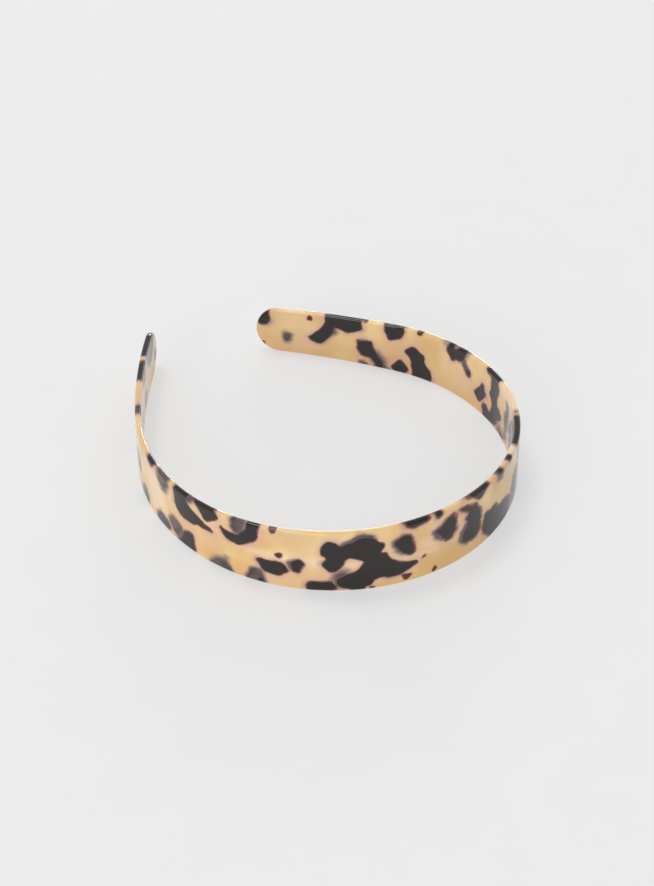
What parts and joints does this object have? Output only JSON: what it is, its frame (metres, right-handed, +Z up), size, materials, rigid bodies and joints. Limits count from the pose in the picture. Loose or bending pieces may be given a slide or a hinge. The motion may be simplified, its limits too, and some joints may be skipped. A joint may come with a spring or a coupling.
{
  "type": "headband",
  "caption": "Springy open hair band bent from one flat tapering strip of polished tortoiseshell acetate, with round tips that curl in.",
  "frame": {"origin": "middle of the bounding box, on the surface that the band's straight long edge stands on", "axes": "+Z up, across the strip; +Y from the crown towards the tips; +X towards the arm that curls in more"},
  "size_m": [0.13, 0.1527, 0.025],
  "materials": {
    "tortoiseshell_acetate": "polished, translucent honey yellow with dark brown patches"
  },
  "bodies": {
    "right_half": {"band_right": "tortoiseshell_acetate"},
    "left_half": {"band_left": "tortoiseshell_acetate"}
  },
  "joints": [
    {"name": "crown_flex", "type": "hinge", "parent": "right_half", "child": "left_half", "pos_m": [0.00038, -0.0754, 0], "axis": [0, 0, 1], "range_deg": [-6, 36], "stiffness_Nm_per_rad": 0.25}
  ]
}
